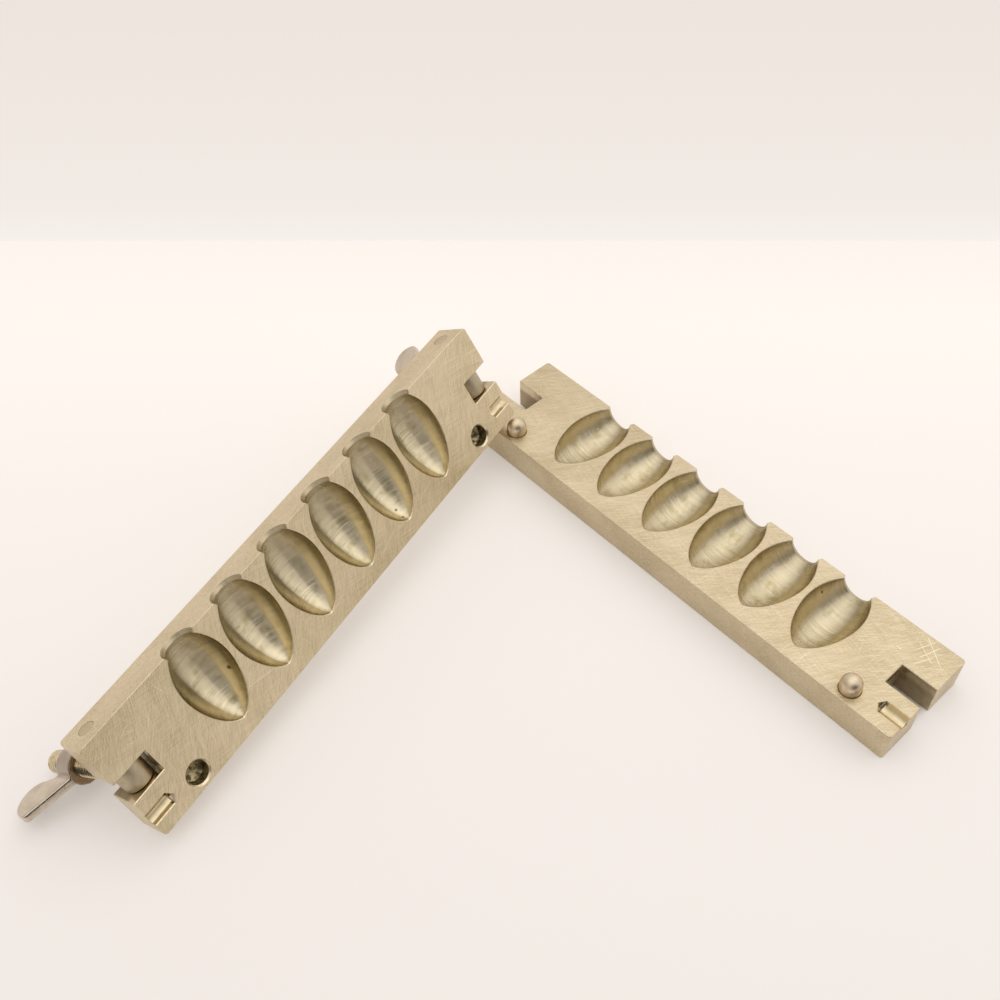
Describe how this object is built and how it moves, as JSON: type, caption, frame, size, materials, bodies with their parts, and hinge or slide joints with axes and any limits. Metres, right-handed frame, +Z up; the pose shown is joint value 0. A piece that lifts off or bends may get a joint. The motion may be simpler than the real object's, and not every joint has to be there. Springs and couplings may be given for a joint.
{
  "type": "suppository mould",
  "caption": "Two-part metal suppository mould lying open, with torpedo half cavities, guide pins and swing bolts with wing nuts.",
  "frame": {"origin": "centre of the flat half's back face, which rests on the table", "axes": "+Z up out of the flat half's joint face, +X along its length away from the end the other half touches, +Y from its tip edge to its pour edge"},
  "size_m": [0.1789, 0.194, 0.0424],
  "materials": {
    "block_metal": "worn satin face, polished cavities",
    "pin_metal": "smooth, slightly worn",
    "bolt_metal": "dull turned metal",
    "nut_metal": "soft nickel shine"
  },
  "bodies": {
    "pin_half": {"pin_half_block": "block_metal", "guide_pin_left": "pin_metal", "guide_pin_right": "pin_metal"},
    "hole_half": {"hole_half_block": "block_metal", "hinge_pin_left": "pin_metal", "hinge_pin_right": "pin_metal"},
    "bolt_left": {"swing_bolt_left": "bolt_metal"},
    "bolt_right": {"swing_bolt_right": "bolt_metal"},
    "nut_left": {"wing_nut_left": "nut_metal"},
    "nut_right": {"wing_nut_right": "nut_metal"}
  },
  "joints": [
    {"name": "hole_half_lift", "type": "slide", "parent": "pin_half", "child": "hole_half", "axis": [0, 0, 1], "range_m": [0, 0.1]},
    {"name": "swing_bolt_left_swing", "type": "hinge", "parent": "hole_half", "child": "bolt_left", "pos_m": [-0.07201, -0.0194, 0.0262], "axis": [-0.4549, -0.1765, 0.8729], "range_deg": [-205, 5]},
    {"name": "wing_nut_left_spin", "type": "hinge", "parent": "bolt_left", "child": "nut_left", "pos_m": [-0.08794, -0.02656, 0.01645], "axis": [-0.7965, -0.3579, -0.4874], "continuous": true},
    {"name": "swing_bolt_right_swing", "type": "hinge", "parent": "hole_half", "child": "bolt_right", "pos_m": [-0.03669, -0.15355, 0.01747], "axis": [-0.4549, -0.1765, 0.8729], "range_deg": [-25, 185]},
    {"name": "wing_nut_right_spin", "type": "hinge", "parent": "bolt_right", "child": "nut_right", "pos_m": [-0.05262, -0.16071, 0.00772], "axis": [-0.7965, -0.3579, -0.4874], "continuous": true}
  ]
}
